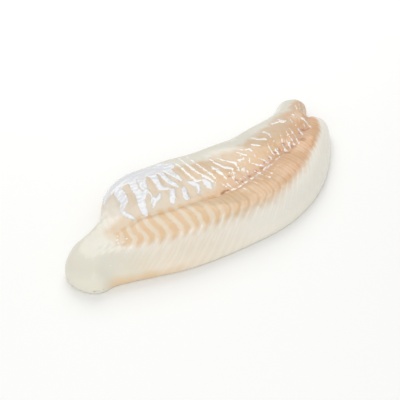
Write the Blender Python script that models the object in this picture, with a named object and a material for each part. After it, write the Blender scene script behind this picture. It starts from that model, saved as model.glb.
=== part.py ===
"""A side of salted cod: a skinless fillet lying on its flat cut face.

One closed solid. X runs from the head end to the tail end, the loin half is on the -Y
side and the thinner belly half on the +Y side. The origin is on the underside, in the
middle of the outline. Lengths are metres.

The upper surface is one grid of head-to-tail lines (constant t) and side-to-side lines
(constant s). The side-to-side lines follow the zigzag of the muscle flakes, so each
flake has a ridge line and a valley line of its own.
"""

import math

import bmesh
import bpy
import numpy as np

NODE = "cod_fillet"

# Foot outline: the two long sides from head to tail, and the two ends from loin to belly.
LOIN_EDGE = [(-0.1895, -0.020), (-0.183, -0.0245), (-0.172, -0.026), (-0.156, -0.0335), (-0.110, -0.058),
             (-0.055, -0.074), (0.0, -0.082), (0.060, -0.073), (0.115, -0.048), (0.1615, -0.016)]
BELLY_EDGE = [(-0.174, 0.027), (-0.154, 0.030), (-0.138, 0.036), (-0.123, 0.047), (-0.109, 0.063),
              (-0.091, 0.076), (-0.060, 0.082), (-0.024, 0.074), (0.010, 0.062), (0.055, 0.055),
              (0.106, 0.053), (0.146, 0.055), (0.180, 0.067)]
HEAD_EDGE = [(-0.1895, -0.020), (-0.1955, -0.002), (-0.190, 0.016), (-0.174, 0.027)]
TAIL_EDGE = [(0.1615, -0.016), (0.171, -0.003), (0.1715, 0.010), (0.1675, 0.019), (0.1775, 0.027),
             (0.192, 0.039), (0.195, 0.054), (0.180, 0.067)]
# The belly edge's share is held back here, where it climbs steeply from the nose.
HOLD_SIZE, HOLD_PLACE, HOLD_WIDTH = 0.035, 0.19, 0.08

# Heights.
CROWN_HEIGHT = 0.0285
FOOT_HEIGHT = 0.003
FOOT_TUCK = 0.0018
LENGTH_PLACES = [0.0, 0.12, 0.40, 0.70, 0.90, 1.0]
LENGTH_SHARES = [0.90, 0.97, 1.00, 0.93, 0.84, 0.76]
# Crown across the fillet: -1 is the loin's foot, 0 the seam, 1 the belly's foot.
CROWN_PLACES = [-1.0, -0.75, -0.45, -0.15, 0.0, 0.30, 0.60, 0.85, 1.0]
CROWN_SHARES = [0.84, 0.96, 1.00, 0.95, 0.91, 0.90, 0.83, 0.72, 0.62]
# The narrow nose is level across instead, up to its rounded rims.
NOSE_SHARE, NOSE_FADE = 0.955, (0.25, 0.09)

# The seam where the two halves of the muscle meet.
SEAM_PLACES = [0.0, 0.10, 0.20, 0.25, 0.30, 0.45, 0.60, 0.70, 0.80, 1.0]
SEAM_SHARES = [0.50, 0.50, 0.48, 0.46, 0.40, 0.34, 0.357, 0.362, 0.338, 0.348]
SEAM_LINE = 0.5
SEAM_DEPTH = 0.0010
SEAM_FADE = (0.14, 0.27)
SEAM_WIDTH = 0.04

# Rounded rims: how far in each one reaches, and the share of the grid's lines spent on it.
LOIN_RIM, LOIN_SPENT = 0.021, 0.20
BELLY_RIM, BELLY_SPENT = 0.012, 0.10
HEAD_RIM, HEAD_SPENT = 0.018, 0.075
TAIL_RIM, TAIL_SPENT = 0.012, 0.05
LENGTH, WIDTH = 0.370, 0.150
RIM_FULLNESS = 0.8
OUTLINE_STEPS = 481

# Muscle flakes.
FLAKES = 40
FLAKE_SEED = 11
FLAKE_UNEVENNESS = 0.16
FLAKE_DEPTH = 0.0016
RIDGE_PLACE = 0.55
RIDGE_UNEVENNESS = 0.3
# Zigzag of the flake lines, as shares of the length: down the loin's flank, from the bend
# that each line has along the loin, a line runs back towards the head; on the belly half
# it leans towards the tail.
FLANK_LEAN = 0.13
BEND_ROUNDING = 0.15
BEND_PLACES = [0.0, 0.14, 0.20, 0.28, 0.45, 0.60, 1.0]
BEND_LINES = [0.42, 0.42, 0.32, 0.27, 0.205, 0.205, 0.24]
BELLY_LEAN_PLACES = [0.0, 0.12, 0.24, 0.36, 0.48, 0.60, 0.72, 0.90, 1.0]
BELLY_LEANS = [0.0, 0.03, 0.24, 0.15, 0.03, 0.10, 0.15, 0.12, 0.12]
# Along the middle of the belly half the lines hook back towards the head past this line.
HOOK_LINE, HOOK_ROUNDING = 0.68, 0.04
HOOK_PLACES = [0.0, 0.36, 0.46, 0.56, 0.66, 0.77, 0.88, 1.0]
HOOK_LEANS = [0.0, 0.0, 0.0, 0.18, 0.24, 0.0, 0.0, 0.0]
ZIGZAG_HEAD_FADE, ZIGZAG_TAIL_FADE = 0.36, 0.25
# How deep the flakes stand out, line by line, and where they fade at the ends.
DEPTH_LINES = [0.0, 0.06, 0.13, 0.20, 0.30, 0.42, 0.5, 0.56, 0.66, 0.76, 0.84, 1.0]
DEPTH_SHARES = [0.0, 0.12, 0.35, 0.85, 0.75, 0.45, 0.15, 0.70, 1.00, 0.45, 0.08, 0.0]
HEAD_FADE = (0.05, 0.15)
TAIL_FADE = (0.99, 0.92)
SHORTEST_EDGE = 0.0006
# Stretches of the seam where the flakes' own grid lines are too far apart for the outline.
HALVED_SPANS = [(0.0, 0.075), (0.17, 0.26), (0.95, 1.0)]
# Grid lines from side to side: where each stretch ends, and its steps.
CROSS_STEPS = [(0.20, 10), (0.44, 10), (0.56, 6), (0.90, 13), (1.0, 7)]

# Slow swells of the flesh: waves along, waves across, phase, and height.
SWELLS = [(2.3, 1.1, 0.4, 0.0007), (4.1, 1.9, 1.7, 0.0005), (6.7, 0.8, 2.9, 0.0004)]

FLESH_COLOUR = (0.72, 0.60, 0.42, 1.0)
FLESH_ROUGHNESS = 0.35


def clear_scene():
    """Remove every object, so that only the fillet is left."""
    for item in list(bpy.data.objects):
        bpy.data.objects.remove(item)


def smooth(low, high, value):
    """Rise smoothly from 0 at low to 1 at high."""
    share = np.clip((value - low) / (high - low), 0.0, 1.0)
    return share * share * (3.0 - 2.0 * share)


def eased(value, places, heights):
    """Read a smooth curve through a few heights at their places."""
    places = np.array(places, float)
    heights = np.array(heights, float)
    slopes = np.gradient(heights, places)
    index = np.clip(np.searchsorted(places, value) - 1, 0, len(places) - 2)
    span = places[index + 1] - places[index]
    q = np.clip((value - places[index]) / span, 0.0, 1.0)
    return ((1 + 2 * q) * (1 - q) ** 2 * heights[index]
            + q * (1 - q) ** 2 * span * slopes[index]
            + q * q * (3 - 2 * q) * heights[index + 1]
            + q * q * (q - 1) * span * slopes[index + 1])


def outline(before, points, after, share, samples=24):
    """Read a centripetal Catmull-Rom curve through the points, at shares of its length.

    The points before and after belong to the neighbouring edges, which it joins smoothly.
    """
    knots = np.array([before] + points + [after], float)
    pieces = []
    for i in range(1, len(knots) - 2):
        p0, p1, p2, p3 = knots[i - 1:i + 3]
        k = [0.0]
        for start, end in ((p0, p1), (p1, p2), (p2, p3)):
            k.append(k[-1] + math.sqrt(np.linalg.norm(end - start)))
        q = np.linspace(k[1], k[2], samples)[:, None]
        a1 = (k[1] - q) / (k[1] - k[0]) * p0 + (q - k[0]) / (k[1] - k[0]) * p1
        a2 = (k[2] - q) / (k[2] - k[1]) * p1 + (q - k[1]) / (k[2] - k[1]) * p2
        a3 = (k[3] - q) / (k[3] - k[2]) * p2 + (q - k[2]) / (k[3] - k[2]) * p3
        b1 = (k[2] - q) / (k[2] - k[0]) * a1 + (q - k[0]) / (k[2] - k[0]) * a2
        b2 = (k[3] - q) / (k[3] - k[1]) * a2 + (q - k[1]) / (k[3] - k[1]) * a3
        pieces.append((k[2] - q) / (k[2] - k[1]) * b1 + (q - k[1]) / (k[2] - k[1]) * b2)
    line = np.vstack(pieces)
    run = np.concatenate([[0.0], np.cumsum(np.linalg.norm(np.diff(line, axis=0), axis=1))])
    run /= run[-1]
    return np.stack([np.interp(share, run, line[:, 0]), np.interp(share, run, line[:, 1])], -1)


def plan(a, b):
    """Blend the four edges into the plan point at share a along and share b across."""
    loin = outline(HEAD_EDGE[1], LOIN_EDGE, TAIL_EDGE[1], a)
    held = a - HOLD_SIZE * np.exp(-((a - HOLD_PLACE) / HOLD_WIDTH) ** 2)
    belly = outline(HEAD_EDGE[-2], BELLY_EDGE, TAIL_EDGE[-2], held)
    head = outline(LOIN_EDGE[1], HEAD_EDGE, BELLY_EDGE[1], b)
    tail = outline(LOIN_EDGE[-2], TAIL_EDGE, BELLY_EDGE[-2], b)
    head_loin, head_belly = np.array(LOIN_EDGE[0]), np.array(BELLY_EDGE[0])
    tail_loin, tail_belly = np.array(LOIN_EDGE[-1]), np.array(BELLY_EDGE[-1])
    a, b = a[..., None], b[..., None]
    ruled = (1 - b) * loin + b * belly + (1 - a) * head + a * tail
    corners = ((1 - a) * ((1 - b) * head_loin + b * head_belly)
               + a * ((1 - b) * tail_loin + b * tail_belly))
    return ruled - corners


def shared(place, low_rim, low_spent, middle, high_rim, high_spent):
    """Share of the plan at a grid place from 0 to 1, with the lines drawn together on both rims."""
    low = np.clip(place / low_spent, 0.0, 1.0) * math.pi / 2
    high = np.clip((1 - place) / high_spent, 0.0, 1.0) * math.pi / 2
    first = np.clip((place - low_spent) / (SEAM_LINE - low_spent), 0.0, 1.0)
    second = np.clip((place - SEAM_LINE) / (1 - high_spent - SEAM_LINE), 0.0, 1.0)
    return (low_rim * (1 - np.cos(low)) + first * (middle - low_rim)
            + second * (1 - high_rim - middle) + high_rim * np.cos(high))


def edge_distance(points):
    """Distance of each plan point from the foot outline."""
    share = np.linspace(0.0, 1.0, OUTLINE_STEPS)
    zero, one = np.zeros_like(share), np.ones_like(share)
    loop = np.concatenate([plan(share, zero), plan(one, share), plan(share, one)[::-1], plan(zero, share)[::-1]])
    flat = points.reshape(-1, 2)
    nearest = np.full(len(flat), np.inf)
    for start, end in zip(loop[:-1], loop[1:]):
        run = end - start
        squared = max(run @ run, 1e-18)
        along = np.clip(((flat - start) @ run) / squared, 0.0, 1.0)
        nearest = np.minimum(nearest, np.linalg.norm(flat - start - along[:, None] * run, axis=1))
    return nearest.reshape(points.shape[:-1])


def rim_rise(points, s, t):
    """Share of the full height at each plan point: a quarter ellipse up from the outline."""
    belly = smooth(0.35, 0.65, t)
    reach = LOIN_RIM * (1 - belly) + BELLY_RIM * belly
    head, tail = smooth(0.14, 0.0, s), smooth(0.90, 1.0, s)
    reach = reach * (1 - head - tail) + HEAD_RIM * head + TAIL_RIM * tail
    inward = 1 - np.clip(edge_distance(points) / reach, 0.0, 1.0)
    return (1 - inward ** 2) ** (RIM_FULLNESS / 2)


def crown(a, b):
    """Height of the flesh above its foot, with the seam's groove, before the rims round it off."""
    seam = eased(a, SEAM_PLACES, SEAM_SHARES)
    side = np.where(b < seam, b / seam - 1, (b - seam) / (1 - seam))
    across = eased(side, CROWN_PLACES, CROWN_SHARES)
    across += (NOSE_SHARE - across) * smooth(*NOSE_FADE, a)
    height = CROWN_HEIGHT * eased(a, LENGTH_PLACES, LENGTH_SHARES) * across
    for waves_along, waves_across, phase, size in SWELLS:
        height += size * np.sin(2 * math.pi * (waves_along * a + waves_across * b) + phase)
    groove = SEAM_DEPTH * np.exp(-(side / SEAM_WIDTH) ** 2) * smooth(*SEAM_FADE, a)
    return height - FOOT_HEIGHT - groove


def zigzag(u, t):
    """Grid place s, at line t, of the flake line that crosses the seam at place u."""
    down = 1 - t / eased(u, BEND_PLACES, BEND_LINES)
    loin = -FLANK_LEAN * (down + np.hypot(down, BEND_ROUNDING)) / 2
    belly = eased(u, BELLY_LEAN_PLACES, BELLY_LEANS) * np.clip(t - SEAM_LINE, 0.0, None)
    past = t - HOOK_LINE
    belly -= eased(u, HOOK_PLACES, HOOK_LEANS) * (past + np.hypot(past, HOOK_ROUNDING)) / 2
    fade = smooth(0.0, ZIGZAG_HEAD_FADE, u) * smooth(1.0, 1 - ZIGZAG_TAIL_FADE, u)
    return u + (loin + belly) * fade


def surface(u, t, ridge):
    """Points of the upper surface on flake lines u and grid lines t, with their ridge heights."""
    s = zigzag(u, t)
    a = shared(s, HEAD_RIM / LENGTH, HEAD_SPENT, SEAM_LINE, TAIL_RIM / LENGTH, TAIL_SPENT)
    seam = eased(a, SEAM_PLACES, SEAM_SHARES)
    b = shared(t, LOIN_RIM / WIDTH, LOIN_SPENT, seam, BELLY_RIM / WIDTH, BELLY_SPENT)
    points = plan(a, b)
    flakes = FLAKE_DEPTH * ridge * eased(t, DEPTH_LINES, DEPTH_SHARES)
    flakes = flakes * smooth(*HEAD_FADE, s) * smooth(*TAIL_FADE, s)
    height = FOOT_HEIGHT + (crown(a, b) + flakes) * rim_rise(points, s, t)
    return np.concatenate([points, height[..., None]], -1)


def halved(places, ridges):
    """Halve the grid's steps where the outline turns too quickly for the flakes' own lines."""
    mids = (places[:-1] + places[1:]) / 2
    wanted = np.zeros(len(mids), bool)
    for start, end in HALVED_SPANS:
        wanted |= (mids > start) & (mids < end)
    levels = ((ridges[:-1] + ridges[1:]) / 2)[wanted]
    order = np.argsort(np.concatenate([places, mids[wanted]]))
    return (np.concatenate([places, mids[wanted]])[order],
            np.concatenate([ridges, levels])[order])


def flake_lines():
    """Places of the valley and ridge lines along the seam, and how high each one stands."""
    draw = np.random.default_rng(FLAKE_SEED)
    widths = 1 + FLAKE_UNEVENNESS * draw.uniform(-1, 1, FLAKES)
    valleys = np.concatenate([[0.0], np.cumsum(widths) / widths.sum()])
    ridges = valleys[:-1] + RIDGE_PLACE * np.diff(valleys)
    places = np.sort(np.concatenate([valleys, ridges]))
    heights = np.full(len(places), -0.5)
    heights[1::2] = 0.5 + RIDGE_UNEVENNESS * draw.uniform(-1, 1, FLAKES)
    return halved(places, heights)


def cross_lines():
    """Grid lines t from the loin's foot to the belly's foot."""
    lines = [0.0]
    for end, steps in CROSS_STEPS:
        start = lines[-1]
        lines += [start + (end - start) * (step + 1) / steps for step in range(steps)]
    return np.array(lines)


def build_fillet():
    """Shape a grid into the upper surface, then close it with the tucked foot and flat underside."""
    places, ridges = flake_lines()
    lines = cross_lines()
    points = surface(places[:, None], lines[None, :], ridges[:, None])

    form = bmesh.new()
    bmesh.ops.create_grid(form, x_segments=len(places) - 1, y_segments=len(lines) - 1, size=0.5)
    for vert in form.verts:
        i = round((vert.co.x + 0.5) * (len(places) - 1))
        j = round((vert.co.y + 0.5) * (len(lines) - 1))
        vert.co = points[i, j]
        if vert.is_boundary:
            vert.co.z = FOOT_HEIGHT

    rim_edges = [edge for edge in form.edges if edge.is_boundary]
    cap = bmesh.ops.contextual_create(form, geom=rim_edges)["faces"]
    bmesh.ops.recalc_face_normals(form, faces=form.faces)
    bmesh.ops.inset_region(form, faces=cap, thickness=FOOT_TUCK, depth=FOOT_HEIGHT, use_even_offset=True)
    for vert in cap[0].verts:
        vert.co.z = 0.0
    bmesh.ops.triangulate(form, faces=form.faces, quad_method="SHORT_EDGE", ngon_method="BEAUTY")
    bmesh.ops.dissolve_degenerate(form, dist=SHORTEST_EDGE, edges=form.edges)
    bmesh.ops.triangulate(form, faces=form.faces)

    mesh = bpy.data.meshes.new(NODE)
    form.to_mesh(mesh)
    form.free()
    mesh.shade_smooth()
    mesh.materials.append(flesh_material())
    fillet = bpy.data.objects.new(NODE, mesh)
    bpy.context.scene.collection.objects.link(fillet)


def flesh_material():
    """Moist raw flesh: pale cream with a soft gloss."""
    material = bpy.data.materials.new("moist_cod_flesh")
    material.use_nodes = True
    shader = material.node_tree.nodes["Principled BSDF"]
    shader.inputs["Base Color"].default_value = FLESH_COLOUR
    shader.inputs["Roughness"].default_value = FLESH_ROUGHNESS
    shader.inputs["Metallic"].default_value = 0.0
    return material


clear_scene()
build_fillet()
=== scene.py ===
"""A side of salted cod, dressed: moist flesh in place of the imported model's plain solid.

X runs from the head end to the tail end, the loin half is on the -Y side and the thinner
belly half on the +Y side. Lengths are metres, except where a name says millimetres.
"""

import logging
import math
from dataclasses import dataclass, field
from enum import Enum

import bpy
import numpy as np
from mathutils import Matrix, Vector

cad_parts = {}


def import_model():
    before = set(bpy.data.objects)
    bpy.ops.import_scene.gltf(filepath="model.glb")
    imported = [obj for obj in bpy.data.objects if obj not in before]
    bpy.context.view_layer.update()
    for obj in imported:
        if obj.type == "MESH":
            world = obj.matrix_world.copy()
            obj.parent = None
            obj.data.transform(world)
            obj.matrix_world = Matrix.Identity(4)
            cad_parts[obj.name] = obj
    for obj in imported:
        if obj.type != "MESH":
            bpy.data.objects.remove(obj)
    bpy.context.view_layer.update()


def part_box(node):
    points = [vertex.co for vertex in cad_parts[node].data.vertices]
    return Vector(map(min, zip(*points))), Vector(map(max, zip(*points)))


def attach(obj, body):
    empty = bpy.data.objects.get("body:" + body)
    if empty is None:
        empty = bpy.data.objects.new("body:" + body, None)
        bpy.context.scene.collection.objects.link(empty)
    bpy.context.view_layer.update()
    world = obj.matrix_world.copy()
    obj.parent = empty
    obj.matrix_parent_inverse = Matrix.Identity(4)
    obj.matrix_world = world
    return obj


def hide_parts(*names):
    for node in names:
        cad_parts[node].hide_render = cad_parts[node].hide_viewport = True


LOG = logging.getLogger("salted_cod")

NODE = "cod_fillet"
BODY = "root"
MM = 0.001

Line = tuple[tuple[float, float], ...]
Stroke = tuple[tuple[float, float, float], ...]
Strokes = dict[str, tuple[Stroke, ...]]


def smooth(low: float, high: float, value: np.ndarray) -> np.ndarray:
    """Rise smoothly from 0 to 1.

    Args:
        low: Where the result is 0.
        high: Where the result is 1; it may be below low.
        value: What is read.

    Returns:
        The smooth share at each value.
    """
    share = np.clip((value - low) / (high - low), 0.0, 1.0)
    return share * share * (3.0 - 2.0 * share)


def eased(value: np.ndarray, line: Line) -> np.ndarray:
    """Read a smooth curve through a few points.

    Args:
        value: Places along the curve.
        line: The points, as place and height.

    Returns:
        The curve's height at each place.
    """
    places, heights = np.array(line).T
    slopes = np.gradient(heights, places)
    index = np.clip(np.searchsorted(places, value) - 1, 0, len(places) - 2)
    span = places[index + 1] - places[index]
    q = np.clip((value - places[index]) / span, 0.0, 1.0)
    return ((1 + 2 * q) * (1 - q) ** 2 * heights[index]
            + q * (1 - q) ** 2 * span * slopes[index]
            + q * q * (3 - 2 * q) * heights[index + 1]
            + q * q * (q - 1) * span * slopes[index + 1])


def mottle(x: np.ndarray, y: np.ndarray, cell: float, seed: int) -> np.ndarray:
    """Make soft random blotches that are the same on each run.

    Args:
        x: Places along the first direction.
        y: Places along the second direction, in the same unit.
        cell: Size of a blotch, in that unit.
        seed: Which blotches.

    Returns:
        Values from -1 to 1.
    """
    size = 256
    lattice = np.random.default_rng(seed).uniform(-1, 1, (size, size))
    column, row = np.floor(x / cell).astype(int), np.floor(y / cell).astype(int)
    across, up = x / cell - column, y / cell - row
    across, up = across * across * (3 - 2 * across), up * up * (3 - 2 * up)
    near, far = (lattice[column % size, (row + step) % size] * (1 - across)
                 + lattice[(column + 1) % size, (row + step) % size] * across for step in (0, 1))
    return near * (1 - up) + far * up


@dataclass
class FilletForm:
    """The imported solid's own upper surface, repeated from the same named values."""

    loin_edge: Line = ((-0.1895, -0.020), (-0.183, -0.0245), (-0.172, -0.026), (-0.156, -0.0335),
                       (-0.110, -0.058), (-0.055, -0.074), (0.0, -0.082), (0.060, -0.073),
                       (0.115, -0.048), (0.1615, -0.016))
    belly_edge: Line = ((-0.174, 0.027), (-0.154, 0.030), (-0.138, 0.036), (-0.123, 0.047),
                        (-0.109, 0.063), (-0.091, 0.076), (-0.060, 0.082), (-0.024, 0.074),
                        (0.010, 0.062), (0.055, 0.055), (0.106, 0.053), (0.146, 0.055), (0.180, 0.067))
    head_edge: Line = ((-0.1895, -0.020), (-0.1955, -0.002), (-0.190, 0.016), (-0.174, 0.027))
    tail_edge: Line = ((0.1615, -0.016), (0.171, -0.003), (0.1715, 0.010), (0.1675, 0.019),
                       (0.1775, 0.027), (0.192, 0.039), (0.195, 0.054), (0.180, 0.067))
    hold_size: float = 0.035
    hold_place: float = 0.19
    hold_width: float = 0.08
    crown_height: float = 0.0285
    foot_height: float = 0.003
    length_shares: Line = ((0.0, 0.90), (0.12, 0.97), (0.40, 1.00), (0.70, 0.93), (0.90, 0.84), (1.0, 0.76))
    crown_shares: Line = ((-1.0, 0.84), (-0.75, 0.96), (-0.45, 1.00), (-0.15, 0.95), (0.0, 0.91),
                          (0.30, 0.90), (0.60, 0.83), (0.85, 0.72), (1.0, 0.62))
    nose_share: float = 0.955
    nose_fade: tuple[float, float] = (0.25, 0.09)
    seam_shares: Line = ((0.0, 0.50), (0.10, 0.50), (0.20, 0.48), (0.25, 0.46), (0.30, 0.40), (0.45, 0.34),
                         (0.60, 0.357), (0.70, 0.362), (0.80, 0.338), (1.0, 0.348))
    seam_line: float = 0.5
    seam_depth: float = 0.0010
    seam_fade: tuple[float, float] = (0.14, 0.27)
    seam_width: float = 0.04
    loin_rim: float = 0.021
    loin_spent: float = 0.20
    belly_rim: float = 0.012
    belly_spent: float = 0.10
    head_rim: float = 0.018
    head_spent: float = 0.075
    tail_rim: float = 0.012
    tail_spent: float = 0.05
    belly_rim_fade: tuple[float, float] = (0.35, 0.65)
    head_rim_fade: tuple[float, float] = (0.14, 0.0)
    tail_rim_fade: tuple[float, float] = (0.90, 1.0)
    length: float = 0.370
    width: float = 0.150
    rim_fullness: float = 0.8
    outline_steps: int = 241
    flakes: int = 40
    flake_seed: int = 11
    flake_unevenness: float = 0.16
    flank_lean: float = 0.13
    bend_rounding: float = 0.15
    bend_lines: Line = ((0.0, 0.42), (0.14, 0.42), (0.20, 0.32), (0.28, 0.27), (0.45, 0.205),
                        (0.60, 0.205), (1.0, 0.24))
    belly_leans: Line = ((0.0, 0.0), (0.12, 0.03), (0.24, 0.24), (0.36, 0.15), (0.48, 0.03), (0.60, 0.10),
                         (0.72, 0.15), (0.90, 0.12), (1.0, 0.12))
    hook_line: float = 0.68
    hook_rounding: float = 0.04
    hook_leans: Line = ((0.0, 0.0), (0.36, 0.0), (0.46, 0.0), (0.56, 0.18), (0.66, 0.24),
                        (0.77, 0.0), (0.88, 0.0), (1.0, 0.0))
    zigzag_head_fade: float = 0.36
    zigzag_tail_fade: float = 0.25
    swells: tuple[tuple[float, float, float, float], ...] = (
        (2.3, 1.1, 0.4, 0.0007), (4.1, 1.9, 1.7, 0.0005), (6.7, 0.8, 2.9, 0.0004))

    def edge(self, before: tuple[float, float], points: Line, after: tuple[float, float],
             share: np.ndarray, samples: int = 24) -> np.ndarray:
        """Read a smooth outline edge.

        Args:
            before: The neighbouring edge's point before the first one.
            points: The edge's own points.
            after: The neighbouring edge's point after the last one.
            share: Shares of the edge's length to read.
            samples: Steps between two points.

        Returns:
            Plan points at the shares.
        """
        knots = np.array((before,) + tuple(points) + (after,), float)
        pieces = []
        for i in range(1, len(knots) - 2):
            p0, p1, p2, p3 = knots[i - 1:i + 3]
            k = [0.0]
            for start, end in ((p0, p1), (p1, p2), (p2, p3)):
                k.append(k[-1] + math.sqrt(np.linalg.norm(end - start)))
            q = np.linspace(k[1], k[2], samples)[:, None]
            a1 = (k[1] - q) / (k[1] - k[0]) * p0 + (q - k[0]) / (k[1] - k[0]) * p1
            a2 = (k[2] - q) / (k[2] - k[1]) * p1 + (q - k[1]) / (k[2] - k[1]) * p2
            a3 = (k[3] - q) / (k[3] - k[2]) * p2 + (q - k[2]) / (k[3] - k[2]) * p3
            b1 = (k[2] - q) / (k[2] - k[0]) * a1 + (q - k[0]) / (k[2] - k[0]) * a2
            b2 = (k[3] - q) / (k[3] - k[1]) * a2 + (q - k[1]) / (k[3] - k[1]) * a3
            pieces.append((k[2] - q) / (k[2] - k[1]) * b1 + (q - k[1]) / (k[2] - k[1]) * b2)
        line = np.vstack(pieces)
        run = np.concatenate([[0.0], np.cumsum(np.linalg.norm(np.diff(line, axis=0), axis=1))])
        run /= run[-1]
        return np.stack([np.interp(share, run, line[:, 0]), np.interp(share, run, line[:, 1])], -1)

    def plan(self, a: np.ndarray, b: np.ndarray) -> np.ndarray:
        """Blend the four edges into plan points.

        Args:
            a: Share from head to tail.
            b: Share from the loin's foot to the belly's.

        Returns:
            Plan points.
        """
        held = a - self.hold_size * np.exp(-((a - self.hold_place) / self.hold_width) ** 2)
        loin = self.edge(self.head_edge[1], self.loin_edge, self.tail_edge[1], a)
        belly = self.edge(self.head_edge[-2], self.belly_edge, self.tail_edge[-2], held)
        head = self.edge(self.loin_edge[1], self.head_edge, self.belly_edge[1], b)
        tail = self.edge(self.loin_edge[-2], self.tail_edge, self.belly_edge[-2], b)
        a, b = a[..., None], b[..., None]
        corners = ((1 - a) * ((1 - b) * np.array(self.loin_edge[0]) + b * np.array(self.belly_edge[0]))
                   + a * ((1 - b) * np.array(self.loin_edge[-1]) + b * np.array(self.belly_edge[-1])))
        return (1 - b) * loin + b * belly + (1 - a) * head + a * tail - corners

    def shared(self, place: np.ndarray, low: tuple[float, float], middle: np.ndarray | float,
               high: tuple[float, float]) -> np.ndarray:
        """Share of the plan at a grid place, with the lines drawn together on both rims.

        Args:
            place: Grid place from 0 to 1.
            low: The first rim's reach, and the share of the lines spent on it.
            middle: Share of the plan at the middle grid line.
            high: The last rim's reach and share of the lines.

        Returns:
            Shares of the plan.
        """
        first = np.clip((place - low[1]) / (self.seam_line - low[1]), 0.0, 1.0)
        second = np.clip((place - self.seam_line) / (1 - high[1] - self.seam_line), 0.0, 1.0)
        return (low[0] * (1 - np.cos(np.clip(place / low[1], 0.0, 1.0) * math.pi / 2))
                + first * (middle - low[0]) + second * (1 - high[0] - middle)
                + high[0] * np.cos(np.clip((1 - place) / high[1], 0.0, 1.0) * math.pi / 2))

    def edge_distance(self, points: np.ndarray) -> np.ndarray:
        """Distance of each plan point from the foot outline."""
        share = np.linspace(0.0, 1.0, self.outline_steps)
        zero, one = np.zeros_like(share), np.ones_like(share)
        loop = np.concatenate([self.plan(share, zero), self.plan(one, share),
                               self.plan(share, one)[::-1], self.plan(zero, share)[::-1]])
        flat = points.reshape(-1, 2)
        nearest = np.full(len(flat), np.inf)
        for start, end in zip(loop[:-1], loop[1:]):
            run = end - start
            along = np.clip(((flat - start) @ run) / max(run @ run, 1e-18), 0.0, 1.0)
            nearest = np.minimum(nearest, ((flat - start - along[:, None] * run) ** 2).sum(1))
        return np.sqrt(nearest).reshape(points.shape[:-1])

    def rim_rise(self, points: np.ndarray, s: np.ndarray, t: np.ndarray) -> np.ndarray:
        """Share of the full height at each plan point: a quarter ellipse up from the outline.

        Args:
            points: Plan points.
            s: Their grid places from head to tail.
            t: Their grid places from loin to belly.

        Returns:
            Shares of the height.
        """
        belly = smooth(*self.belly_rim_fade, t)
        head, tail = smooth(*self.head_rim_fade, s), smooth(*self.tail_rim_fade, s)
        reach = ((self.loin_rim * (1 - belly) + self.belly_rim * belly) * (1 - head - tail)
                 + self.head_rim * head + self.tail_rim * tail)
        inward = 1 - np.clip(self.edge_distance(points) / reach, 0.0, 1.0)
        return (1 - inward ** 2) ** (self.rim_fullness / 2)

    def crown(self, a: np.ndarray, b: np.ndarray) -> np.ndarray:
        """Height of the flesh above its foot, with the seam's groove.

        Args:
            a: Share from head to tail.
            b: Share from the loin's foot to the belly's.

        Returns:
            Heights before the rims round them off.
        """
        seam = eased(a, self.seam_shares)
        side = np.where(b < seam, b / seam - 1, (b - seam) / (1 - seam))
        across = eased(side, self.crown_shares)
        across += (self.nose_share - across) * smooth(*self.nose_fade, a)
        height = self.crown_height * eased(a, self.length_shares) * across
        for waves_along, waves_across, phase, size in self.swells:
            height += size * np.sin(2 * math.pi * (waves_along * a + waves_across * b) + phase)
        groove = self.seam_depth * np.exp(-(side / self.seam_width) ** 2) * smooth(*self.seam_fade, a)
        return height - self.foot_height - groove

    def zigzag(self, u: np.ndarray, t: np.ndarray) -> np.ndarray:
        """Grid place s of the flake line that crosses the seam at u.

        Args:
            u: Place along the seam.
            t: Grid place from loin to belly.

        Returns:
            Grid places from head to tail.
        """
        down = 1 - t / eased(u, self.bend_lines)
        loin = -self.flank_lean * (down + np.hypot(down, self.bend_rounding)) / 2
        past = t - self.hook_line
        belly = (eased(u, self.belly_leans) * np.clip(t - self.seam_line, 0.0, None)
                 - eased(u, self.hook_leans) * (past + np.hypot(past, self.hook_rounding)) / 2)
        lean = (loin + belly) * smooth(0.0, self.zigzag_head_fade, u)
        return u + lean * smooth(1.0, 1 - self.zigzag_tail_fade, u)

    def surface(self, s: np.ndarray, t: np.ndarray) -> np.ndarray:
        """Points of the upper surface, without its flakes.

        Args:
            s: Grid places from head to tail.
            t: Grid places from loin to belly.

        Returns:
            Points.
        """
        a = self.shared(s, (self.head_rim / self.length, self.head_spent), self.seam_line,
                        (self.tail_rim / self.length, self.tail_spent))
        b = self.shared(t, (self.loin_rim / self.width, self.loin_spent), eased(a, self.seam_shares),
                        (self.belly_rim / self.width, self.belly_spent))
        points = self.plan(a, b)
        height = self.foot_height + self.crown(a, b) * self.rim_rise(points, s, t)
        return np.concatenate([points, height[..., None]], -1)

    def valleys(self) -> np.ndarray:
        """Places along the seam of the valleys between flakes."""
        draw = np.random.default_rng(self.flake_seed)
        widths = 1 + self.flake_unevenness * draw.uniform(-1, 1, self.flakes)
        return np.concatenate([[0.0], np.cumsum(widths) / widths.sum()])


class Layer(Enum):
    """What the mesh carries at each point for the finish to read."""

    GRAIN = "grain"
    TAN = "tan"
    WALL = "wall"
    LINES = "lines"
    FILM = "film_mm"
    # Whitish streaks, partly painted highlight, and painted glints, in millimetres inside their edges.
    STREAK_AND_GLINT = "streak_and_glint_mm"
    VEIL = "veil"
    BLUSH = "blush"
    ROSY = "rosy"
    BACK = "back"
    AMBER = "amber"
    BLOOD = "blood"
    NOSE = "nose"
    DEPTH = "depth"
    # Painted warm bounce light low on the flesh by its foot.
    PAINTED_BOUNCE_LIGHT = "painted_bounce_light"


@dataclass(frozen=True)
class Fade:
    """A smooth change from 0 at its start to 1 at its end, which may be the lower value."""

    start: float
    end: float

    def at(self, value: np.ndarray) -> np.ndarray:
        """Share reached at each value."""
        return smooth(self.start, self.end, value)


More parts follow.
